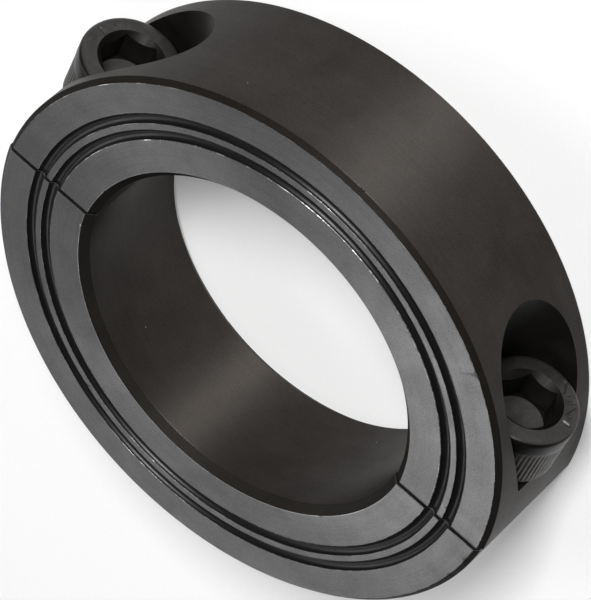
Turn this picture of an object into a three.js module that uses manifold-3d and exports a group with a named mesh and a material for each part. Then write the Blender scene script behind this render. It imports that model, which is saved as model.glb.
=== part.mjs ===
// A two-piece clamping shaft collar in black-oxide steel, for a 1-3/4 inch shaft.
// Two half rings clamp the shaft between them. Two socket head cap screws pass through the
// clamp half, beside the bore, and thread into the tapped half.
// Millimetres, +Z up. The collar lies on its plain back face, with the bore along Z.
// +X runs along the split between the halves, and +Y from the tapped half to the clamp half.
// The origin is the centre of the box around the collar, on its bottom face.
import * as THREE from "three";
import { mergeVertices } from "three/addons/utils/BufferGeometryUtils.js";
import Module from "manifold-3d";

const wasm = await Module();
wasm.setup();

const INCH = 25.4;

// The ring.
const BORE_RADIUS = (1.75 * INCH) / 2;
const OUTER_RADIUS = (2.75 * INCH) / 2;
const WIDTH = (11 / 16) * INCH;
const FRONT_OUTER_CHAMFER = 0.6;
const BACK_OUTER_CHAMFER = 0.15;
const BORE_CHAMFER = 0.95;

// The two round-bottomed grooves turned into the front face.
const GROOVE_RADII = [27.9, 29.95];
const GROOVE_WIDTH = 1.25;
const GROOVE_DEPTH = 0.6;

// The split. A saw takes its kerf out of the full ring, and the screws then draw the halves
// together until a small gap is left, so each half's own centre is past the middle.
const SAW_KERF = (3 / 32) * INCH;
const REST_GAP = 0.55;
const DRAWN_IN = (SAW_KERF - REST_GAP) / 2;
// The clearance holes let the clamp half settle a little to one side of the tapped half.
const SIDE_PLAY = 0.19;

// The screw holes, seen from the middle of each half.
const SCREW_OFFSET = 29.0;
const SEAT_ABOVE_SPLIT = 6.8;
const COUNTERBORE_RADIUS = 6.6;
const CLEARANCE_RADIUS = 4.25;
const TAPPED_RADIUS = 3.97;
const TAPPED_CHAMFER = 0.5;

// The 5/16-24 x 3/4 socket head cap screws. The threaded shank is plain here, at about the
// thread's pitch diameter, so it clears the tapped hole all round.
const HEAD_RADIUS = 5.9;
const HEAD_HEIGHT = (5 / 16) * INCH;
const HEAD_EDGE_ROUND = 0.6;
const HEAD_FOOT_CHAMFER = 0.25;
const SHANK_RADIUS = 3.65;
const SHANK_LENGTH = 0.75 * INCH;
const SHANK_TIP_CHAMFER = 0.8;
const SOCKET_ACROSS_FLATS = 0.25 * INCH;
const SOCKET_DEPTH = 4.2;
const SOCKET_MOUTH_RADIUS = 3.95;
const SOCKET_POINT_DEPTH = 1.3;
const HEAD_TO_SEAT_GAP = 0.3;

// How finely round shapes are divided.
const RING_STEPS = 96;
const HOLE_STEPS = 48;
const SCREW_STEPS = 48;
const GROOVE_STEPS = 6;
const EDGE_STEPS = 3;
// How far a cutting shape runs past what it cuts.
const PAST = 5;

// The closed solid of a three.js geometry.
function solidOf(geometry) {
  const bare = geometry.clone();
  bare.deleteAttribute("normal");
  bare.deleteAttribute("uv");
  const merged = mergeVertices(bare, 1e-4);
  return new wasm.Manifold(
    new wasm.Mesh({
      numProp: 3,
      vertProperties: new Float32Array(merged.attributes.position.array),
      triVerts: new Uint32Array(merged.index.array),
    }),
  );
}

// A three.js geometry of a solid, with flat shading normals.
function geometryOf(solid) {
  const mesh = solid.getMesh();
  const geometry = new THREE.BufferGeometry();
  geometry.setAttribute("position", new THREE.BufferAttribute(mesh.vertProperties, 3));
  geometry.setIndex(new THREE.BufferAttribute(mesh.triVerts, 1));
  const flat = geometry.toNonIndexed();
  flat.computeVertexNormals();
  return flat;
}

// A section of [radius, height] points turned about Z.
function turned(section, steps) {
  const points = section.map(([radius, height]) => new THREE.Vector2(radius, height));
  return solidOf(new THREE.LatheGeometry(points, steps).rotateX(Math.PI / 2));
}

// A hexagonal rod along Z from one height to another.
function hexagonRod(cornerRadius, low, high) {
  const geometry = new THREE.CylinderGeometry(cornerRadius, cornerRadius, high - low, 6);
  return solidOf(geometry.rotateX(Math.PI / 2).translate(0, 0, (low + high) / 2));
}

// A box from its lowest to its highest corner.
function block(low, high) {
  const size = high.map((value, i) => value - low[i]);
  const middle = high.map((value, i) => (value + low[i]) / 2);
  return solidOf(new THREE.BoxGeometry(...size).translate(...middle));
}

// The points of a round-bottomed groove, from its inner edge down and up to its outer edge.
function groovePoints(radius) {
  const points = [];
  for (let i = 0; i <= GROOVE_STEPS; i++) {
    const angle = Math.PI * (1 - i / GROOVE_STEPS);
    const across = (GROOVE_WIDTH / 2) * Math.cos(angle);
    const down = GROOVE_DEPTH * Math.sin(angle);
    points.push([radius + across, WIDTH - down]);
  }
  return points;
}

// The full ring before the saw cut: chamfered corners, and the grooves in the front face.
function fullRing() {
  const section = [
    [BORE_RADIUS, BORE_CHAMFER],
    [BORE_RADIUS + BORE_CHAMFER, 0],
    [OUTER_RADIUS - BACK_OUTER_CHAMFER, 0],
    [OUTER_RADIUS, BACK_OUTER_CHAMFER],
    [OUTER_RADIUS, WIDTH - FRONT_OUTER_CHAMFER],
    [OUTER_RADIUS - FRONT_OUTER_CHAMFER, WIDTH],
    ...GROOVE_RADII.flatMap(groovePoints).reverse(),
    [BORE_RADIUS + BORE_CHAMFER, WIDTH],
    [BORE_RADIUS, WIDTH - BORE_CHAMFER],
    [BORE_RADIUS, BORE_CHAMFER],
  ];
  return turned(section, RING_STEPS);
}

// A round hole along Y in the middle of the width, with its own radius at each end.
function holeAlongY(x, low, high, radius, highRadius = radius) {
  const geometry = new THREE.CylinderGeometry(highRadius, radius, high - low, HOLE_STEPS);
  return solidOf(geometry.translate(x, (low + high) / 2, WIDTH / 2));
}

// The half with the counterbored clearance holes, on the +Y side of its own centre.
function clampHalf(ring) {
  const split = SAW_KERF / 2;
  const seat = split + SEAT_ABOVE_SPLIT;
  const far = OUTER_RADIUS + PAST;
  let half = ring.intersect(block([-far, split, -PAST], [far, far, WIDTH + PAST]));
  for (const x of [-SCREW_OFFSET, SCREW_OFFSET]) {
    const clearance = holeAlongY(x, split - PAST, seat + PAST, CLEARANCE_RADIUS);
    const counterbore = holeAlongY(x, seat, far, COUNTERBORE_RADIUS);
    half = half.subtract(clearance).subtract(counterbore);
  }
  return half;
}

// The half with the tapped holes, on the -Y side of its own centre.
function tappedHalf(ring) {
  const split = -SAW_KERF / 2;
  const far = OUTER_RADIUS + PAST;
  let half = ring.intersect(block([-far, -far, -PAST], [far, split, WIDTH + PAST]));
  const mouth = TAPPED_RADIUS + TAPPED_CHAMFER;
  for (const x of [-SCREW_OFFSET, SCREW_OFFSET]) {
    const hole = holeAlongY(x, -far, split + PAST, TAPPED_RADIUS);
    const chamfer = holeAlongY(x, split - TAPPED_CHAMFER, split, TAPPED_RADIUS, mouth);
    half = half.subtract(hole).subtract(chamfer);
  }
  return half;
}

// The points of the head's rounded top edge, from its side to its flat top.
function headEdgePoints() {
  const points = [];
  for (let i = 0; i <= EDGE_STEPS; i++) {
    const angle = (Math.PI / 2) * (i / EDGE_STEPS);
    points.push([
      HEAD_RADIUS - HEAD_EDGE_ROUND * (1 - Math.cos(angle)),
      HEAD_HEIGHT - HEAD_EDGE_ROUND * (1 - Math.sin(angle)),
    ]);
  }
  return points;
}

// The hexagon socket, with a chamfered mouth and a drill point under it.
function socket() {
  const corner = SOCKET_ACROSS_FLATS / Math.sqrt(3);
  const inscribed = SOCKET_ACROSS_FLATS / 2;
  const floor = HEAD_HEIGHT - SOCKET_DEPTH;
  const mouthDepth = SOCKET_MOUTH_RADIUS - inscribed;
  const hexagon = hexagonRod(corner, floor, HEAD_HEIGHT + PAST);
  const mouth = turned(
    [
      [0, HEAD_HEIGHT - mouthDepth],
      [inscribed, HEAD_HEIGHT - mouthDepth],
      [SOCKET_MOUTH_RADIUS, HEAD_HEIGHT],
      [SOCKET_MOUTH_RADIUS, HEAD_HEIGHT + PAST],
      [0, HEAD_HEIGHT + PAST],
    ],
    SCREW_STEPS,
  );
  const point = turned(
    [
      [0, floor - SOCKET_POINT_DEPTH],
      [inscribed * 0.98, floor],
      [inscribed * 0.98, floor + 1],
      [0, floor + 1],
    ],
    SCREW_STEPS,
  );
  return hexagon.add(mouth).add(point);
}

// One cap screw along Z, with the underside of its head at height 0.
function capScrew() {
  const section = [
    [0, -SHANK_LENGTH],
    [SHANK_RADIUS - SHANK_TIP_CHAMFER, -SHANK_LENGTH],
    [SHANK_RADIUS, -SHANK_LENGTH + SHANK_TIP_CHAMFER],
    [SHANK_RADIUS, 0],
    [HEAD_RADIUS - HEAD_FOOT_CHAMFER, 0],
    [HEAD_RADIUS, HEAD_FOOT_CHAMFER],
    ...headEdgePoints(),
    [0, HEAD_HEIGHT],
  ];
  return turned(section, SCREW_STEPS).subtract(socket());
}

// Black-oxide steel of one tone.
function blackOxide(color, roughness) {
  return new THREE.MeshStandardMaterial({ color, roughness, metalness: 0.85 });
}

// One named piece.
function piece(name, solid, material) {
  const mesh = new THREE.Mesh(geometryOf(solid), material);
  mesh.name = name;
  return mesh;
}

const collar = new THREE.Group();
const ring = fullRing();

const clamp = piece("clamp_half", clampHalf(ring), blackOxide(0x4a4643, 0.5));
clamp.position.set(SIDE_PLAY / 2, -DRAWN_IN, 0);

const tapped = piece("tapped_half", tappedHalf(ring), blackOxide(0x484645, 0.5));
tapped.position.set(-SIDE_PLAY / 2, DRAWN_IN, 0);
collar.add(clamp, tapped);

const headUnderside = REST_GAP / 2 + SEAT_ABOVE_SPLIT + HEAD_TO_SEAT_GAP;
const screwSolid = capScrew();
const screws = new THREE.Group();
screws.position.set(-SIDE_PLAY / 2, headUnderside, WIDTH / 2);
for (const [name, x] of [["left_screw", -SCREW_OFFSET], ["right_screw", SCREW_OFFSET]]) {
  const screw = piece(name, screwSolid, blackOxide(0x2f2b29, 0.42));
  screw.rotation.x = -Math.PI / 2;
  screw.position.x = x;
  screws.add(screw);
}
collar.add(screws);

export default collar;
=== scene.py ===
"""The looks of a two-piece clamping shaft collar in black-oxide steel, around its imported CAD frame.

Every piece is a fine mesh that stands for one CAD node: two half rings and two cap screws.
Lengths are metres, in the frame of the CAD part: +Z along the bore, +X along the split, and +Y
from the tapped half to the clamp half.
"""
import math

import bmesh
import bpy
import numpy as np
from mathutils import Matrix, Vector


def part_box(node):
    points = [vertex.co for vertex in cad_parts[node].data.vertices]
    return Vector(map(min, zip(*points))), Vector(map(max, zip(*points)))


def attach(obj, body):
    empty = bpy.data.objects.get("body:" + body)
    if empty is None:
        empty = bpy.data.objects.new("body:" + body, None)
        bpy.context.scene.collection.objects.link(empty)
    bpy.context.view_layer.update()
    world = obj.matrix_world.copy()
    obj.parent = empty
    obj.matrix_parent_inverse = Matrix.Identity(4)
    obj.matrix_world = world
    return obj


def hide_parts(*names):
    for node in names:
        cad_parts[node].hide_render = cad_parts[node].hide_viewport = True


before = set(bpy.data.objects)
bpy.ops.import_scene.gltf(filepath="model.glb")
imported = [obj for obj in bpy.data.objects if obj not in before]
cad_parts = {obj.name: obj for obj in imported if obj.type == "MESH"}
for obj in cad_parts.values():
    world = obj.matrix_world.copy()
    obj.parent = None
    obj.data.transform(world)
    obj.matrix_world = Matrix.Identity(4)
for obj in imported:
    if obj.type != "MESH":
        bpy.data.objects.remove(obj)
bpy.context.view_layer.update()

MM = 0.001
INCH = 0.0254
PI = math.pi

# The ring, as in the CAD part.
BORE_RADIUS = 0.875 * INCH
OUTER_RADIUS = 1.375 * INCH
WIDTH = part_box("tapped_half")[1].z
FRONT_OUTER_CHAMFER = 0.6 * MM
BACK_OUTER_CHAMFER = 0.15 * MM
BORE_CHAMFER = 0.95 * MM
GROOVE_RADII = (27.9 * MM, 29.95 * MM)
GROOVE_WIDTH = 1.25 * MM
GROOVE_DEPTH = 0.6 * MM
SAW_KERF = 3 / 32 * INCH
REST_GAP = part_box("clamp_half")[0].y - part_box("tapped_half")[1].y
DRAWN_IN = (SAW_KERF - REST_GAP) / 2
SIDE_PLAY = 0.19 * MM

# The screws and their holes, as in the CAD part.
SCREW_OFFSET = 29.0 * MM
SEAT_ABOVE_SPLIT = 6.8 * MM
COUNTERBORE_RADIUS = 6.6 * MM
CLEARANCE_RADIUS = 4.25 * MM
HEAD_RADIUS = 5.9 * MM
HEAD_HEIGHT = 5 / 16 * INCH
SHANK_LENGTH = 0.75 * INCH
SOCKET_ACROSS_FLATS = 0.25 * INCH
SOCKET_DEPTH = 4.2 * MM
SOCKET_MOUTH_RADIUS = 3.95 * MM
SOCKET_POINT_DEPTH = 1.3 * MM
HEAD_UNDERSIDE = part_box("left_screw")[1].y - HEAD_HEIGHT

# The 5/16-24 thread: flanks close to 60 degrees, cut flat at the crest and the root. The last
# three are shares: of the pitch for half a crest and a flank, and of the depth for the neck.
PITCH = INCH / 24
THREAD_MAJOR = 3.94 * MM
THREAD_DEPTH = 0.60 * MM
THREAD_CLEARANCE = 0.07 * MM
HALF_CREST = 0.07
FLANK = 0.30
NECK_SHARE = 0.45

# The knurl, sockets and marks of the screws' heads.
KNURL_TEETH = 64
KNURL_DEPTH = 0.085 * MM
KNURL_START = 0.45 * MM
KNURL_UNDER_TOP = 2.2 * MM
LEFT_SOCKET_TURN, RIGHT_SOCKET_TURN = 0.3, 1.1
LEFT_MARKS_START, RIGHT_MARKS_START = math.radians(140), math.radians(8)
MARKS = 6
MARK_STEP = math.radians(12)
MARK_LEAN = 0.11
MARK_RADIUS = 4.68 * MM
MARK_LENGTH = 0.42 * MM
MARK_WIDTH = 0.16 * MM
MARK_DEPTH = 0.13 * MM

# The small roundings of the ring's edges, and the edges that nick_places numbers first.
EDGE_ROUNDING = 0.09 * MM
BACK_EDGE_ROUNDING = 0.6 * EDGE_ROUNDING
END_ROUNDING = 0.04 * MM
GROOVE_ROUNDING = 0.05 * MM
BURRED_ROUNDING = 0.09 * MM
FACE_EDGE, SIDE_EDGE, BORE_EDGE = 0, 1, 2

# How finely round shapes are divided, and where a flat side gets extra points near its ends.
SUPPORTS = (0.05 * MM, 0.14 * MM, 0.25 * MM)
ROUNDING_STEPS = 4
GROOVE_STEPS = 18
HALF_STEPS = 360
HOLE_STEPS = 192
TAP_COLUMNS = 144
SCREW_COLUMNS = 320
KNURL_ROWS = 24
FLAT_ROWS = 26
THREAD_ROWS_A_TURN = 12
NICK_STEP = 0.045 * MM
END_CLEAR = 0.001
CREASE = math.radians(32)

# How far a cutter reaches past what it cuts.
PAST = 3 * MM


# Meshes --------------------------------------------------------------------------------------


def new_object(name, mesh):
    """A scene object of a mesh."""
    obj = bpy.data.objects.new(name, mesh)
    bpy.context.scene.collection.objects.link(obj)
    return obj


def mesh_of(name, points, faces, kinds, materials):
    """A mesh from points and faces, with one material for each face by its kind."""
    mesh = bpy.data.meshes.new(name)
    mesh.from_pydata(points, [], faces)
    slots = list(materials)
    for kind in slots:
        mesh.materials.append(materials[kind])
    index = np.array([slots.index(kind) for kind in kinds], np.int32)
    mesh.polygons.foreach_set("material_index", index)
    mesh.validate()
    mesh.update()
    return mesh


def rounded_corner(here, before, after, rounding):
    """The points of a round corner, and how far it reaches along the sides before and after it."""
    half = math.acos(np.clip(before @ after, -1, 1)) / 2
    along = rounding / math.tan(half)
    middle = (before + after) / np.linalg.norm(before + after)
    centre = here + middle * rounding / math.sin(half)
    start = here + before * along - centre
    end = here + after * along - centre
    points = []
    for k in range(ROUNDING_STEPS + 1):
        mix = start * (1 - k / ROUNDING_STEPS) + end * k / ROUNDING_STEPS
        points.append(centre + mix / np.linalg.norm(mix) * rounding)
    return points, along


def side_supports(here, after, length, along, next_rounding):
    """Points just inside both ends of a straight side, which keep its shading flat there."""
    used = [support for support in SUPPORTS if length > 8 * support]
    near = [here + after * (along + support) for support in used]
    far = [here + after * (length - support - next_rounding) for support in reversed(used)]
    return near + far


def rounded_outline(corners):
    """A closed outline with round corners, and for each point the kind of the side after it.

    A corner is (r, z, rounding, kind of its rounding, kind of the side after it)."""
    points, kinds = [], []
    for i, (r, z, rounding, corner_kind, kind) in enumerate(corners):
        following = corners[(i + 1) % len(corners)]
        here = np.array([r, z])
        before = np.array(corners[i - 1][:2]) - here
        after = np.array(following[:2]) - here
        before /= np.linalg.norm(before)
        length = np.linalg.norm(after)
        after /= length
        bend, along = [here], 0
        if rounding:
            bend, along = rounded_corner(here, before, after, rounding)
        supports = side_supports(here, after, length, along, following[2])
        points += bend + supports
        kinds += [corner_kind] * (len(bend) - 1) + [kind] * (1 + len(supports))
    return np.array(points), kinds


def groove_corners(radius, inner_rounding, inner_kind):
    """A round-bottomed groove, from its outer edge to its inner edge."""
    corners = []
    for i in range(GROOVE_STEPS + 1):
        angle = PI * i / GROOVE_STEPS
        across = GROOVE_WIDTH / 2 * math.cos(angle)
        down = GROOVE_DEPTH * math.sin(angle)
        corners.append((radius + across, WIDTH - down, 0, "edge", "groove"))
    radius_out, radius_in = corners[0][0], corners[-1][0]
    corners[0] = (radius_out, WIDTH, GROOVE_ROUNDING, "edge", "groove")
    corners[-1] = (radius_in, WIDTH, inner_rounding, inner_kind, "face")
    return corners


def ring_section():
    """The section of the ring, with every corner rounded a little."""
    inner_groove = groove_corners(GROOVE_RADII[0], BURRED_ROUNDING, "burr")
    outer_groove = groove_corners(GROOVE_RADII[1], GROOVE_ROUNDING, "edge")
    bore_rim = BORE_RADIUS + BORE_CHAMFER
    front, edge = WIDTH - FRONT_OUTER_CHAMFER, EDGE_ROUNDING
    return rounded_outline([
        (BORE_RADIUS, BORE_CHAMFER, edge, "bore", "bore_rim"),
        (bore_rim, 0, edge, "rim", "face"),
        (OUTER_RADIUS - BACK_OUTER_CHAMFER, 0, BACK_EDGE_ROUNDING, "edge", "outside"),
        (OUTER_RADIUS, BACK_OUTER_CHAMFER, BACK_EDGE_ROUNDING, "edge", "outside"),
        (OUTER_RADIUS, front, edge, "outside", "chamfer"),
        (OUTER_RADIUS - FRONT_OUTER_CHAMFER, WIDTH, edge, "edge", "face"),
        *outer_groove,
        *inner_groove,
        (bore_rim, WIDTH, edge, "rim", "bore_rim"),
        (BORE_RADIUS, WIDTH - BORE_CHAMFER, edge, "bore", "bore"),
    ])


def inset(points, distance):
    """The outline drawn in by a distance, for the rounded ends of a half ring."""
    after = np.roll(points, -1, 0) - points
    after /= np.linalg.norm(after, axis=1)[:, None]
    before = np.roll(after, 1, 0)
    normal = np.stack([-(after + before)[:, 1], (after + before)[:, 0]], 1)
    normal /= np.linalg.norm(normal, axis=1)[:, None]
    return points + normal * distance


def half_columns(nicks):
    """The columns of a half ring from one end to the other.

    A column is (height over the split, inset, share). share runs from 0 to 1 round the half, and
    columns are close together where there is a nick."""
    edge = END_ROUNDING
    ends = [(0, edge), (0.3 * edge, 0.3 * edge), (edge, 0)]
    shares = [i / HALF_STEPS for i in range(1, HALF_STEPS)]
    for (radius, _), share, size, _ in nicks:
        step = NICK_STEP / (radius * PI)
        reach = math.ceil(1.4 * size / NICK_STEP)
        shares = [other for other in shares if abs(other - share) > (reach + 0.6) * step]
        shares += [share + i * step for i in range(-reach, reach + 1)]
    shares = [share for share in shares if END_CLEAR < share < 1 - END_CLEAR]
    columns = [(up, drawn_in, 0.0) for up, drawn_in in ends]
    columns += [(edge, 0, share) for share in sorted(shares)]
    columns += [(up, drawn_in, 1.0) for up, drawn_in in reversed(ends)]
    return columns


def nick_places(seed, count, chosen):
    """Small dents on the edges: ((radius, height) of the edge, share round the half, size, depth).

    count of them are random. chosen holds others, as (edge's number, share, size and depth in
    millimetres)."""
    random = np.random.default_rng(seed)
    rim = BORE_RADIUS + BORE_CHAMFER
    front = WIDTH - FRONT_OUTER_CHAMFER
    edges = [(OUTER_RADIUS - FRONT_OUTER_CHAMFER, WIDTH), (OUTER_RADIUS, front)]
    edges += [(rim, WIDTH), (OUTER_RADIUS, BACK_OUTER_CHAMFER), (rim, 0)]
    for radius in GROOVE_RADII:
        edges += [(radius + side * GROOVE_WIDTH / 2, WIDTH) for side in (-1, 1)]
    nicks = [(edges[edge], share, size * MM, depth * MM) for edge, share, size, depth in chosen]
    for _ in range(count):
        edge = edges[random.integers(len(edges))]
        size = random.uniform(0.08, 0.2) * MM
        nicks.append((edge, random.uniform(0.02, 0.98), size, size * random.uniform(0.25, 0.5)))
    return nicks


def press_nicks(points, shares, nicks, kinds):
    """Presses the nicks into columns of section points, and marks their small faces as bare steel.

    points is an array of columns by section points, each (radius, height). A nick pushes them
    into the steel, equally along the radius and the height."""
    slant = 0.7
    small = ("edge", "rim", "burr", "face")
    for edge, share, size, depth in nicks:
        off_edge = points - np.array(edge)
        along = (shares - share)[:, None] * PI * edge[0] / 2
        away = np.sqrt((off_edge**2).sum(2) + along**2) / size
        press = depth * np.clip(1 - away**2, 0, 1) ** 1.5
        points[..., 0] -= slant * press * (1 if edge[0] > BORE_RADIUS + 2 * BORE_CHAMFER else -1)
        points[..., 1] -= slant * press * (1 if edge[1] > WIDTH / 2 else -1)
        kinds[(away < 0.6) & np.isin(kinds, small)] = "nick"


def strip_faces(columns, count):
    """The faces of a solid from columns of count points each, and then its two end faces."""
    faces = []
    for column in range(columns - 1):
        for i in range(count):
            a, b = column * count + i, column * count + (i + 1) % count
            faces.append((a, b, b + count, a + count))
    last = (columns - 1) * count
    faces.append(tuple(range(count))[::-1])
    faces.append(tuple(range(last, last + count)))
    return faces


def half_ring(name, side, materials, nicks):
    """A half ring about its own centre, on the +Y side (side 1) or the -Y side (side -1)."""
    section, section_kinds = ring_section()
    columns = half_columns(nicks)
    ups = np.array([[up] for up, _, _ in columns])
    shares = np.array([share for _, _, share in columns])
    points = np.array([inset(section, drawn_in) for _, drawn_in, _ in columns])
    kinds = np.array([section_kinds] * len(columns), dtype="U8")
    kinds[:2] = "edge"
    kinds[-3:] = "edge"
    press_nicks(points, shares, nicks, kinds)
    radius, height = points[..., 0], points[..., 1]
    start = np.arcsin((SAW_KERF / 2 + ups) / radius)
    angle = start + (PI - 2 * start) * shares[:, None]
    x, y = radius * np.cos(angle), side * radius * np.sin(angle)
    vertices = np.stack([x, y, height], 2).reshape(-1, 3)
    faces = strip_faces(len(columns), len(section))
    if side > 0:
        faces = [face[::-1] for face in faces]
    face_kinds = list(kinds[:-1].reshape(-1)) + ["sawn", "sawn"]
    mesh = mesh_of(name, vertices, faces, face_kinds, materials)
    return new_object(name, mesh)


def turned_grid(name, rows, kinds, materials):
    """A solid from rings of points: each row is an array of points, or one point on the axis."""
    points, starts = [], []
    for row in rows:
        starts.append(len(points))
        points.extend(np.atleast_2d(row))
    faces, face_kinds = [], []
    for i in range(len(rows) - 1):
        low, high = len(np.atleast_2d(rows[i])), len(np.atleast_2d(rows[i + 1]))
        columns = max(low, high)
        for j in range(columns):
            k = (j + 1) % columns
            a, b = starts[i] + j % low, starts[i] + k % low
            c, d = starts[i + 1] + k % high, starts[i + 1] + j % high
            faces.append(tuple(dict.fromkeys((a, b, c, d))))
            face_kinds.append(kinds[i])
    mesh = mesh_of(name, np.array(points), faces, face_kinds, materials)
    return new_object(name, mesh)


def cut(obj, cutters):
    """Takes the cutters out of obj, and removes them."""
    for cutter in cutters:
        modifier = obj.modifiers.new("cut", "BOOLEAN")
        modifier.operation = "DIFFERENCE"
        modifier.solver = "EXACT"
        modifier.material_mode = "TRANSFER"
        modifier.object = cutter
    graph = bpy.context.evaluated_depsgraph_get()
    mesh = bpy.data.meshes.new_from_object(obj.evaluated_get(graph))
    obj.modifiers.clear()
    obj.data = mesh
    for cutter in cutters:
        bpy.data.objects.remove(cutter)


def shade(obj):
    """Smooth shading, with a crease wherever faces meet at more than the crease's angle."""
    work = bmesh.new()
    work.from_mesh(obj.data)
    for edge in work.edges:
        edge.smooth = edge.calc_face_angle(PI) < CREASE
    for face in work.faces:
        face.smooth = True
    work.to_mesh(obj.data)
    work.free()


# Holes and threads ---------------------------------------------------------------------------


def circle(radius, height, columns):
    """A ring of points round Z; radius may differ from point to point."""
    angle = np.arange(columns) * 2 * PI / columns
    return np.stack([radius * np.cos(angle), radius * np.sin(angle), height + 0 * angle], 1)


def thread_depth(height, columns):
    """How far the thread's surface lies under its crest, all round at one height: 0 to 1."""
    angle = np.arange(columns) / columns
    phase = (height / PITCH - angle) % 1.0
    from_crest = np.minimum(phase, 1 - phase)
    return np.clip((from_crest - HALF_CREST) / FLANK, 0, 1)


def hole_place(x, y):
    """Turns what is made along Z to run along +Y, and puts it in the middle of the width."""
    return Matrix.Translation((x, y, WIDTH / 2)) @ Matrix.Rotation(-PI / 2, 4, "X")


def along_y(cutter, x, y):
    """Moves a cutter made along Z to its hole."""
    cutter.data.transform(hole_place(x, y))
    return cutter


def screw_xs(centre_x):
    """Where the two screws are along X, for a piece whose own centre is at centre_x."""
    return [centre_x - SCREW_OFFSET, centre_x + SCREW_OFFSET]


def counterbore_cutter(x, split, materials):
    """The clearance hole and the counterbore above it, as one stepped rod."""
    seat = split + SEAT_ABOVE_SPLIT
    fillet = 0.35 * MM
    fillet_steps = 4
    mouth = 0.3 * MM
    bevel = 0.15 * MM
    rows = [
        (0, split - PAST),
        (CLEARANCE_RADIUS + mouth + PAST, split - PAST),
        (CLEARANCE_RADIUS, split + mouth),
        (CLEARANCE_RADIUS, seat - bevel),
        (CLEARANCE_RADIUS + bevel, seat),
        (COUNTERBORE_RADIUS - fillet, seat),
    ]
    for i in range(1, fillet_steps + 1):
        angle = PI / 2 * i / fillet_steps
        across = COUNTERBORE_RADIUS - fillet + fillet * math.sin(angle)
        rows.append((across, seat + fillet - fillet * math.cos(angle)))
    rows += [(COUNTERBORE_RADIUS, seat + 2 * fillet), (COUNTERBORE_RADIUS, OUTER_RADIUS + PAST)]
    rows.append((0, OUTER_RADIUS + PAST))
    rings = [circle(r, z, HOLE_STEPS) if r else np.array([0, 0, z]) for r, z in rows]
    cutter = turned_grid("counterbore", rings, ["bored"] * (len(rows) - 1), materials)
    return along_y(cutter, x, 0)


def tapped_cutter(x, centre_y, materials):
    """A threaded rod that cuts the tapped hole, in step with the screw that turns in it.

    Heights along it are from under the screw's head, so its thread has the screw's phase."""
    underside = HEAD_UNDERSIDE - centre_y
    split = -SAW_KERF / 2 - underside
    low = -OUTER_RADIUS - 2 * MM - underside
    high = split + 1.5 * MM
    mouth = THREAD_MAJOR + 0.5 * MM
    rows_count = round((high - low) / PITCH * THREAD_ROWS_A_TURN)
    rings = [np.array([0, 0, low])]
    for i in range(rows_count + 1):
        height = low + (high - low) * i / rows_count
        groove = THREAD_DEPTH * thread_depth(height, TAP_COLUMNS)
        cone = mouth + height - split
        radius = np.maximum(THREAD_MAJOR + THREAD_CLEARANCE - groove, cone)
        rings.append(circle(radius, height, TAP_COLUMNS))
    rings.append(np.array([0, 0, high]))
    cutter = turned_grid("tap", rings, ["tapped"] * (len(rings) - 1), materials)
    return along_y(cutter, x, underside)


def clamp_half(materials):
    """The half with the counterbored clearance holes."""
    worn = [(FACE_EDGE, 0.245, 0.30, 0.10), (FACE_EDGE, 0.262, 0.16, 0.06)]
    worn += [(SIDE_EDGE, 0.62, 0.2, 0.05), (BORE_EDGE, 0.93, 0.2, 0.06)]
    half = half_ring("clamp_half_fine", 1, materials, nick_places(7, 12, worn))
    cut(half, [counterbore_cutter(x, SAW_KERF / 2, materials) for x in screw_xs(0)])
    half.location = (SIDE_PLAY / 2, -DRAWN_IN, 0)
    return half


def tapped_half(materials):
    """The half with the tapped holes."""
    worn = [(FACE_EDGE, 0.022, 0.22, 0.07), (FACE_EDGE, 0.06, 0.2, 0.06)]
    worn += [(BORE_EDGE, 0.97, 0.25, 0.08)]
    half = half_ring("tapped_half_fine", -1, materials, nick_places(11, 12, worn))
    centre = Vector((-SIDE_PLAY / 2, DRAWN_IN, 0))
    cut(half, [tapped_cutter(x, centre.y, materials) for x in screw_xs(0)])
    half.location = centre
    return half


# Screws --------------------------------------------------------------------------------------


def shank_rows():
    """The threaded shank, from the chamfered tip up to the neck under the head."""
    tip = -SHANK_LENGTH
    tip_chamfer = 0.8 * MM
    neck = -1.3 * MM
    run_out = 0.7 * PITCH
    rings = [np.array([0, 0, tip])]
    count = round((neck - tip) / PITCH * THREAD_ROWS_A_TURN)
    for i in range(count + 1):
        height = tip + (neck - tip) * i / count
        fade = np.clip((neck - height) / run_out, 0, 1)
        depth = thread_depth(height, SCREW_COLUMNS)
        radius = THREAD_MAJOR - THREAD_DEPTH * (depth * fade + NECK_SHARE * (1 - fade))
        cone = THREAD_MAJOR - tip_chamfer + (height - tip)
        rings.append(circle(np.minimum(radius, cone), height, SCREW_COLUMNS))
    return rings, ["thread"] * len(rings)


def knurl(share_up):
    """How far the knurl's grooves lie under the head's side, at a height from 0 to 1 of its band."""
    steepness = 9
    angle = np.arange(SCREW_COLUMNS) / SCREW_COLUMNS * KNURL_TEETH
    groove = np.abs((angle % 1.0) - 0.5) * 2
    fade = np.clip(min(share_up, 1 - share_up) * steepness, 0, 1)
    return KNURL_DEPTH * groove * fade


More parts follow.
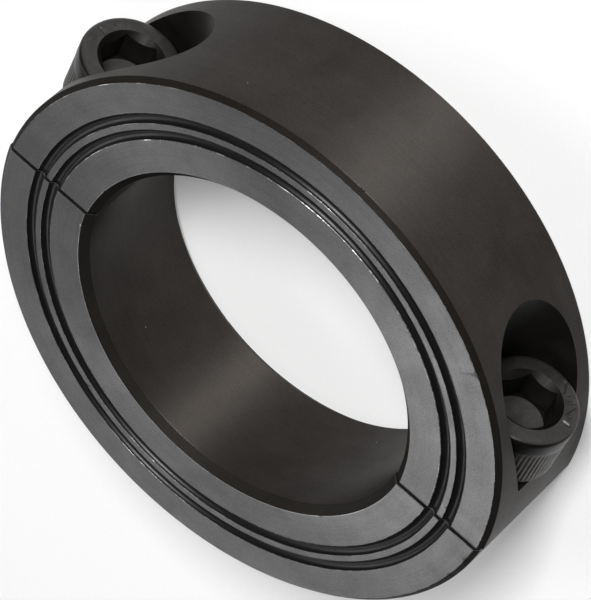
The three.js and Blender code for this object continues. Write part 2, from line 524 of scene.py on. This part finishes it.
def head_rows():
    """The head, from its underside over the knurled side and the rounded edge to the flat top."""
    rings, kinds = [], []
    foot = 0.3 * MM
    bevel_rise = 0.02 * MM
    round_edge = 0.6 * MM
    round_steps = 8
    band_steps = 4
    knurl_end = HEAD_HEIGHT - KNURL_UNDER_TOP
    body = HEAD_RADIUS - 0.02 * MM

    def add(radius, height, kind="forged"):
        """One more ring of the head, and the kind of the faces above it."""
        rings.append(circle(radius, height, SCREW_COLUMNS))
        kinds.append(kind)

    neck = THREAD_MAJOR - NECK_SHARE * THREAD_DEPTH
    add(neck, -0.4 * MM)
    add(neck + 0.1 * MM, -0.1 * MM)
    add(neck + 0.4 * MM, 0)
    add(body - foot - SUPPORTS[0], 0)
    add(body - foot, bevel_rise)
    add(body - 0.1 * MM, foot - bevel_rise)
    add(body, foot + 0.1 * MM)
    for i in range(KNURL_ROWS + 1):
        share = i / KNURL_ROWS
        add(body - knurl(share), KNURL_START + (knurl_end - KNURL_START) * share, "knurl")
    # The smooth band under the rounded edge takes a near-black colour: painted shade.
    add(HEAD_RADIUS, knurl_end + 0.08 * MM, "band")
    add(HEAD_RADIUS, HEAD_HEIGHT - round_edge - SUPPORTS[0], "band")
    for i in range(round_steps + 1):
        angle = PI / 2 * i / round_steps
        across = HEAD_RADIUS - round_edge * (1 - math.cos(angle))
        # The lower rows of the rounded edge take the band's painted shade too.
        kind = "band" if i < band_steps else "forged"
        add(across, HEAD_HEIGHT - round_edge * (1 - math.sin(angle)), kind)
    flat_outer, flat_inner = HEAD_RADIUS - round_edge, 3 * MM
    for i in range(1, FLAT_ROWS + 1):
        add(flat_outer - (flat_outer - flat_inner) * i / FLAT_ROWS, HEAD_HEIGHT)
    rings.append(np.array([0, 0, HEAD_HEIGHT]))
    return rings, kinds


def polar(radius, angle):
    """A point of the flat top, from its radius and angle."""
    return np.array([radius * math.cos(angle), radius * math.sin(angle)])


def mark_strokes(start_angle):
    """The two ends of each bar or dot of a head's marks: a straight bar, a dot and a leaning bar."""
    strokes = []
    for i in range(MARKS):
        angle = start_angle + i * MARK_STEP
        length = 0 if i % 3 == 1 else MARK_LENGTH
        lean = MARK_LEAN if i % 3 == 2 else 0
        low = polar(MARK_RADIUS - length, angle - lean)
        high = polar(MARK_RADIUS + length, angle + lean)
        strokes.append((low, high))
    return strokes


def forge_marks(rings, start_angle):
    """Presses a plain row of bars and dots into the flat top. They mean nothing."""
    strokes = mark_strokes(start_angle)
    for ring in rings:
        if ring.ndim == 1 or abs(ring[0, 2] - HEAD_HEIGHT) > 1e-7:
            continue
        flat = ring[:, :2].copy()
        for low, high in strokes:
            along = high - low
            share = np.clip((flat - low) @ along / max(along @ along, 1e-12), 0, 1)
            away = np.linalg.norm(flat - low - share[:, None] * along, axis=1)
            ring[:, 2] -= MARK_DEPTH * np.clip(1.6 - away / MARK_WIDTH, 0, 1)


def rod_cutter(name, kind, low, high, columns, materials, point=0.0):
    """A rod from low to high, each (radius, height), with a point of some length under it."""
    tip, end = np.array([0, 0, low[1] - point]), np.array([0, 0, high[1]])
    rings = [tip, circle(*low, columns), circle(*high, columns), end]
    return turned_grid(name, rings, [kind] * 3, materials)


def socket_cutters(materials):
    """The hexagon socket, its chamfered mouth and the drill point under it."""
    top = HEAD_HEIGHT + PAST
    floor = HEAD_HEIGHT - SOCKET_DEPTH
    inscribed = SOCKET_ACROSS_FLATS / 2
    corner = SOCKET_ACROSS_FLATS / math.sqrt(3)
    slope = SOCKET_MOUTH_RADIUS - inscribed
    chamfer = (inscribed, HEAD_HEIGHT - slope)
    drilled = 0.97 * inscribed
    # The hexagon and mouth take the socket's near-black painted shade, and the drill point the
    # bottom's painted pool of light.
    return [
        rod_cutter("hexagon", "socket", (corner, floor), (corner, top), 6, materials),
        rod_cutter("mouth", "socket", chamfer, (SOCKET_MOUTH_RADIUS + PAST, top), HOLE_STEPS,
                   materials),
        rod_cutter("point", "bottom", (drilled, floor), (drilled, floor + 0.5 * MM), HOLE_STEPS,
                   materials, point=SOCKET_POINT_DEPTH),
    ]


def cap_screw(name, x, turn, marks_start, materials):
    """One socket head cap screw in its place. turn is how far its socket is turned."""
    shank, shank_kinds = shank_rows()
    head, head_kinds = head_rows()
    forge_marks(head, marks_start)
    screw = turned_grid(name, shank + head, shank_kinds + head_kinds, materials)
    cutters = socket_cutters(materials)
    for cutter in cutters:
        cutter.data.transform(Matrix.Rotation(turn, 4, "Z"))
    cut(screw, cutters)
    screw.matrix_world = hole_place(x, HEAD_UNDERSIDE)
    return screw


# Materials -----------------------------------------------------------------------------------


class Shader:
    """A node material on one Principled shader, with short calls for the nodes that feed it."""

    def __init__(self, name, metallic, specular, anisotropic=0.0):
        self.material = bpy.data.materials.new(name)
        self.material.use_nodes = True
        self.tree = self.material.node_tree
        self.shader = self.tree.nodes["Principled BSDF"]
        self.shader.inputs["Metallic"].default_value = metallic
        self.shader.inputs["Specular IOR Level"].default_value = specular
        if anisotropic:
            self.shader.inputs["Anisotropic"].default_value = anisotropic
            self.shader.inputs["Anisotropic Rotation"].default_value = 0.25
            tangent = self.add("ShaderNodeTangent", direction_type="RADIAL", axis="Z")
            self.tree.links.new(tangent.outputs[0], self.shader.inputs["Tangent"])
        self.place = self.add("ShaderNodeTexCoord").outputs["Object"]

    def add(self, kind, inputs=(), **settings):
        """A new node, with its inputs set by order or by name to a value or to another's output."""
        node = self.tree.nodes.new(kind)
        for key, value in settings.items():
            setattr(node, key, value)
        pairs = inputs.items() if isinstance(inputs, dict) else enumerate(inputs)
        for key, value in pairs:
            if isinstance(value, bpy.types.NodeSocket):
                self.tree.links.new(value, node.inputs[key])
            elif value is not None:
                node.inputs[key].default_value = value
        return node

    def math(self, operation, *inputs):
        """The result of a Math node."""
        return self.add("ShaderNodeMath", inputs, operation=operation).outputs[0]

    def vector(self, operation, *inputs):
        """The result of a Vector Math node."""
        node = self.add("ShaderNodeVectorMath", inputs, operation=operation)
        return node.outputs["Value"] if operation == "LENGTH" else node.outputs["Vector"]

    def noise(self, size, detail=2.0, roughness=0.5, place=None, distortion=0.0):
        """Noise from 0 to 1 with patches of about the given size."""
        values = {"Vector": place or self.place, "Scale": 1 / size, "Detail": detail}
        values.update({"Roughness": roughness, "Distortion": distortion})
        return self.add("ShaderNodeTexNoise", values).outputs["Fac"]

    def span(self, value, low, high, to_low=0.0, to_high=1.0):
        """Maps low..high to to_low..to_high, and holds it there beyond the ends."""
        return self.add("ShaderNodeMapRange", (value, low, high, to_low, to_high)).outputs[0]

    def swing(self, noise, amount, spread=0.2):
        """Noise stretched to run from -amount to amount over its middle 0.5 -/+ spread."""
        return self.span(noise, 0.5 - spread, 0.5 + spread, -amount, amount)

    def total(self, first, *others):
        """The sum of some outputs."""
        for other in others:
            first = self.math("ADD", first, other)
        return first

    def blend(self, share, first, second):
        """A colour between two colours."""
        node = self.add("ShaderNodeMix", data_type="RGBA")
        for socket, value in ((0, share), (6, first), (7, second)):
            if isinstance(value, bpy.types.NodeSocket):
                self.tree.links.new(value, node.inputs[socket])
            else:
                node.inputs[socket].default_value = (*value, 1)
        return node.outputs[2]

    def turned_place(self, mark):
        """A place whose noise makes rings round Z that are one mark wide and change slowly.

        The rings' radius counts 1.37 times the height too, so that the bore and the outside have
        rings as well."""
        flat = self.vector("MULTIPLY", self.place, (1, 1, 0))
        radius = self.vector("LENGTH", flat)
        height = self.add("ShaderNodeSeparateXYZ", (self.place,)).outputs["Z"]
        along = self.math("ADD", radius, self.math("MULTIPLY", height, 1.37))
        round_z = self.vector("SCALE", self.vector("NORMALIZE", flat), None, None, 1.7)
        ring = self.add("ShaderNodeCombineXYZ", (0, 0, self.math("DIVIDE", along, mark))).outputs[0]
        return self.vector("ADD", round_z, ring)

    def bump(self, *layers):
        """Bump from layers of (height from 0 to 1, depth in metres), deepest layer first."""
        normal = None
        for height, depth in layers:
            values = {"Strength": 1.0, "Distance": depth, "Height": height, "Normal": normal}
            normal = self.add("ShaderNodeBump", values).outputs[0]
        self.link("Normal", normal)

    def link(self, name, value):
        """Sets an input of the Principled shader to a value or to another node's output."""
        if isinstance(value, bpy.types.NodeSocket):
            self.tree.links.new(value, self.shader.inputs[name])
        else:
            self.shader.inputs[name].default_value = value


def grey(level, warmth=0.0, violet=0.0):
    """A near grey colour: warmer above 0 and cooler below it, and with a little less green."""
    return (level * (1 + warmth), level * (1 - violet), level * (1 - warmth))


def rare_specks(steel):
    """1 in small dots a few millimetres apart, where the oxide is through, and 0 elsewhere."""
    values = {"Vector": steel.place, "Scale": 1 / (2.6 * MM), "Randomness": 1.0}
    specks = steel.add("ShaderNodeTexVoronoi", values)
    dot = steel.span(specks.outputs["Distance"], 0.025, 0.045, 1, 0)
    rare = steel.span(steel.noise(5 * MM, 0.0), 0.60, 0.64)
    return steel.math("MULTIPLY", dot, rare)


def turned_steel(name, level, warmth, rough, mark, mark_depth, metallic, anisotropic,
                 violet=0.0, specular=0.5):
    """Turned steel under black oxide: rings from the tool, faint patches, fine grain and specks.

    level is how light it is, mark the width of the tool's rings, and mark_depth their depth."""
    steel = Shader(name, metallic, specular, anisotropic)
    rings = steel.noise(1, 3.0, 0.6, place=steel.turned_place(mark))
    broad_rings = steel.noise(1, 2.0, 0.5, place=steel.turned_place(7 * mark))
    patches = steel.noise(4.5 * MM, 3.0, 0.55, distortion=0.4)
    grain = steel.noise(0.16 * MM, 2.0, 0.6)
    tone = steel.total(
        steel.swing(patches, 0.10),
        steel.swing(rings, 0.09, spread=0.25),
        steel.swing(grain, 0.20),
        steel.swing(broad_rings, 0.025),
    )
    dark = grey(level * 0.45, warmth * 1.3, violet)
    light = grey(level * 1.55, warmth * 0.7, violet)
    oxide = steel.blend(steel.math("ADD", 0.5, tone), dark, light)
    bare = grey(0.22, 0.05)
    steel.link("Base Color", steel.blend(rare_specks(steel), oxide, bare))
    steel.link("Roughness", steel.math("ADD", rough, steel.math("MULTIPLY", tone, -0.16)))
    tool_marks = [(broad_rings, 0.0015 * MM), (rings, mark_depth)]
    steel.bump((patches, 0.006 * MM), *tool_marks, (grain, 0.0025 * MM))
    return steel.material


def worn_edge(name, level, warmth, bare=0.42):
    """An edge where the oxide has rubbed through to bare steel in places."""
    steel = Shader(name, 1.0, 0.5)
    long_patches = steel.noise(2.2 * MM, 3.0, 0.6)
    short_patches = steel.noise(0.35 * MM, 2.0, 0.6)
    worn = steel.math("ADD", long_patches, steel.math("MULTIPLY", short_patches, 0.5))
    worn = steel.span(worn, 0.72, 0.95)
    steel.link("Base Color", steel.blend(worn, grey(level, warmth), grey(bare, 0.02)))
    steel.link("Roughness", steel.span(worn, 0, 1, 0.45, 0.3))
    steel.bump((short_patches, 0.012 * MM))
    return steel.material


def sawn_steel(name, level, warmth):
    """A sawn face: straight fine marks that run along Z, beside each other across the ring."""
    steel = Shader(name, 0.6, 0.5)
    across = steel.vector("MULTIPLY", steel.place, (1, 0.2, 0.03))
    marks = steel.noise(0.12 * MM, 3.0, 0.6, place=across)
    patches = steel.noise(3 * MM, 3.0)
    patch_share = steel.span(patches, 0.3, 0.7, 0, 0.4)
    share = steel.math("ADD", steel.span(marks, 0.25, 0.75, 0.1, 0.6), patch_share)
    dark, light = grey(level * 0.6, warmth), grey(level * 1.5, warmth)
    steel.link("Base Color", steel.blend(share, dark, light))
    steel.link("Roughness", steel.span(marks, 0.2, 0.8, 0.36, 0.52))
    steel.bump((patches, 0.01 * MM), (marks, 0.012 * MM))
    return steel.material


def bored_steel(name, level, warmth, mark):
    """A drilled, bored or threaded hole: tool rings round the hole's axis, which is along Y."""
    steel = Shader(name, 0.6, 0.3)
    along = steel.vector("MULTIPLY", steel.place, (0.06, 1, 0.06))
    marks = steel.noise(mark, 3.0, 0.6, place=along)
    patches = steel.noise(2.5 * MM, 3.0)
    patch_share = steel.span(patches, 0.3, 0.7, 0, 0.5)
    share = steel.math("ADD", steel.span(marks, 0.25, 0.75, 0, 0.5), patch_share)
    dark, light = grey(level * 0.6, warmth), grey(level * 1.4, warmth)
    steel.link("Base Color", steel.blend(share, dark, light))
    steel.link("Roughness", steel.span(patches, 0.3, 0.7, 0.42, 0.55))
    steel.bump((patches, 0.01 * MM), (marks, 0.006 * MM))
    return steel.material


def collar_materials():
    """The ring's surfaces, by the kind of each face of its mesh."""
    fine, coarse = 0.09 * MM, 0.14 * MM
    faced = {"metallic": 0.85, "anisotropic": 0.6, "violet": 0.012}
    brown = {"metallic": 0.75, "anisotropic": 0.9, "violet": 0.02}
    dull = {"metallic": 0.2, "anisotropic": 0.3, "specular": 0.05}
    sleek = {"metallic": 0.8, "anisotropic": 0.3, "specular": 0.3}
    return {
        "face": turned_steel("turned_face", 0.148, -0.006, 0.40, fine, 0.0014 * MM, **faced),
        "outside": turned_steel("turned_outside", 0.030, 0.15, 0.45, coarse, 0.0025 * MM, **brown),
        # The front outer chamfer and the bore's chamfers are near black, darker than the face and
        # outside: painted shade.
        "chamfer": turned_steel("chamfer_painted_shade", 0.009, 0.20, 0.55, fine, 0.003 * MM, **dull),
        "bore_rim": turned_steel("bore_rim_painted_shade", 0.013, 0.15, 0.52, fine, 0.003 * MM, **dull),
        "bore": turned_steel("turned_bore", 0.033, 0.16, 0.45, coarse, 0.003 * MM, **brown),
        # The grooves are much darker than the face around them: painted shade in the grooves.
        "groove": turned_steel("groove_painted_shade", 0.022, 0.0, 0.38, fine, 0.001 * MM, **sleek),
        "edge": worn_edge("worn_edge", 0.10, 0.02),
        "rim": worn_edge("worn_rim", 0.30, 0.02),
        "burr": worn_edge("burred_edge", 0.14, 0.02, bare=0.95),
        "nick": worn_edge("bare_nick", 0.22, 0.02),
        # The sawn faces are near black: painted shade in the gap between the two halves, over their
        # real saw marks.
        "sawn": sawn_steel("sawn_face_painted_shade", 0.009, 0.06),
        # The counterbores and clearance holes are near black, darker than the tapped holes: painted
        # shade in the pockets, over their real tool marks.
        "bored": bored_steel("bored_hole_painted_shade", 0.009, 0.12, 0.12 * MM),
        "tapped": bored_steel("tapped_hole", 0.03, 0.05, 0.1 * MM),
    }


def forged_steel(name, level, warmth, rough, pit_depth, specular=0.4):
    """Forged and heat-treated alloy steel with a black finish: fine pits and faint scale."""
    steel = Shader(name, 0.6, specular)
    scale = steel.noise(1.6 * MM, 4.0, 0.6, distortion=0.6)
    pits = steel.noise(0.13 * MM, 2.0, 0.65)
    pit_share = steel.span(pits, 0.3, 0.7, 0, 0.45)
    share = steel.math("ADD", steel.span(scale, 0.3, 0.7, 0, 0.55), pit_share)
    dark, light = grey(level * 0.5, warmth), grey(level * 1.5, warmth)
    steel.link("Base Color", steel.blend(share, dark, light))
    steel.link("Roughness", steel.math("ADD", rough, steel.span(scale, 0.3, 0.7, 0.05, -0.05)))
    steel.bump((scale, 0.012 * MM), (pits, pit_depth))
    return steel.material


def screw_materials():
    """The screws' surfaces, by the kind of each face of their meshes."""
    return {
        "thread": forged_steel("rolled_thread", 0.035, 0.05, 0.40, 0.002 * MM),
        "knurl": forged_steel("knurled_side", 0.040, 0.07, 0.42, 0.003 * MM),
        "forged": forged_steel("forged_head", 0.031, 0.07, 0.38, 0.004 * MM),
        # The smooth band is near black, far darker than the rest of the head: painted shade.
        "band": forged_steel("smooth_band_painted_shade", 0.006, 0.10, 0.42, 0.003 * MM, specular=0.25),
        # The socket's walls and mouth are near black: painted shade inside the socket. Its
        # drill-point bottom is lighter than the rest of the head: a painted pool of light.
        "socket": forged_steel("socket_painted_shade", 0.007, 0.12, 0.45, 0.002 * MM, specular=0.2),
        "bottom": forged_steel("socket_bottom_painted_light", 0.060, 0.07, 0.40, 0.004 * MM),
    }


def floor_material():
    """A plain pale matt sheet, lit a little from below as on a light table."""
    paper = Shader("pale_floor", 0.0, 0.2)
    fibres = paper.noise(0.6 * MM, 3.0)
    paper.link("Base Color", paper.blend(fibres, grey(0.70), grey(0.74)))
    paper.shader.inputs["Emission Color"].default_value = (1, 1, 1, 1)
    paper.shader.inputs["Emission Strength"].default_value = 0.22
    paper.link("Roughness", 0.85)
    paper.bump((fibres, 0.01 * MM))
    return paper.material


# The scene -----------------------------------------------------------------------------------


def direction(azimuth, elevation):
    """The unit vector towards a place. Azimuth 0 is on the -Y side, and 90 on the +X side."""
    a, e = math.radians(azimuth), math.radians(elevation)
    return Vector((math.sin(a) * math.cos(e), -math.cos(a) * math.cos(e), math.sin(e)))


def set_camera():
    """The photograph's view: from the clamp half's side, above the face, and rolled."""
    aim = Vector((0.52, 1.66, 8.73)) * MM
    distance = 0.48862
    towards = direction(167.655, 37.274)
    roll = math.radians(-131.727)
    data = bpy.data.cameras.new("camera")
    data.sensor_fit = "VERTICAL"
    data.sensor_height = 24
    data.lens = 175.44
    data.clip_start = 0.01
    camera = new_object("camera", data)
    level = towards.to_track_quat("Z", "Y").to_matrix().to_4x4()
    place = Matrix.Translation(aim + towards * distance)
    camera.matrix_world = place @ level @ Matrix.Rotation(roll, 4, "Z")
    bpy.context.scene.camera = camera


def softbox(name, azimuth, elevation, distance, size, radiance):
    """A square white softbox that faces the collar, as bright all over as radiance says."""
    data = bpy.data.lights.new(name, "AREA")
    data.shape = "SQUARE"
    data.size = size
    data.energy = radiance * PI * size * size
    light = new_object(name, data)
    towards = direction(azimuth, elevation)
    facing = towards.to_track_quat("Z", "Y").to_matrix().to_4x4()
    light.matrix_world = Matrix.Translation(towards * distance) @ facing


def set_light():
    """Softboxes on the camera's side, on the -X side and opposite, and a small close one.

    The face mirrors the close one, which is opposite the camera, a little."""
    softbox("front", 182, 38, distance=0.8, size=0.22, radiance=57)
    softbox("left", 300, 35, distance=0.8, size=0.4, radiance=3.6)
    softbox("behind", 357, 48, distance=0.8, size=0.35, radiance=0.8)
    softbox("near", 0, 47, distance=0.3, size=0.06, radiance=7.0)
    world = bpy.data.worlds.new("studio")
    world.use_nodes = True
    background = world.node_tree.nodes["Background"]
    background.inputs["Color"].default_value = (1, 1, 1, 1)
    background.inputs["Strength"].default_value = 0.05
    bpy.context.scene.world = world
    bpy.context.scene.view_settings.view_transform = "Standard"


def set_floor():
    """A plain pale floor just under the collar."""
    half, gap = 3.0, 0.05 * MM
    corners = [(-half, -half, 0), (half, -half, 0), (half, half, 0), (-half, half, 0)]
    mesh = mesh_of("floor", corners, [(0, 1, 2, 3)], ["floor"], {"floor": floor_material()})
    floor = new_object("floor", mesh)
    floor.location.z = -gap


def stand_for(piece, node):
    """A fine piece takes the place of its CAD node, on that node's body."""
    shade(piece)
    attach(piece, node)
    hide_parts(node)


set_camera()
set_light()
set_floor()
collar = collar_materials()
screw = screw_materials()
stand_for(clamp_half(collar), "clamp_half")
stand_for(tapped_half(collar), "tapped_half")
left_x, right_x = screw_xs(-SIDE_PLAY / 2)
left = cap_screw("left_screw_fine", left_x, LEFT_SOCKET_TURN, LEFT_MARKS_START, screw)
right = cap_screw("right_screw_fine", right_x, RIGHT_SOCKET_TURN, RIGHT_MARKS_START, screw)
stand_for(left, "left_screw")
stand_for(right, "right_screw")
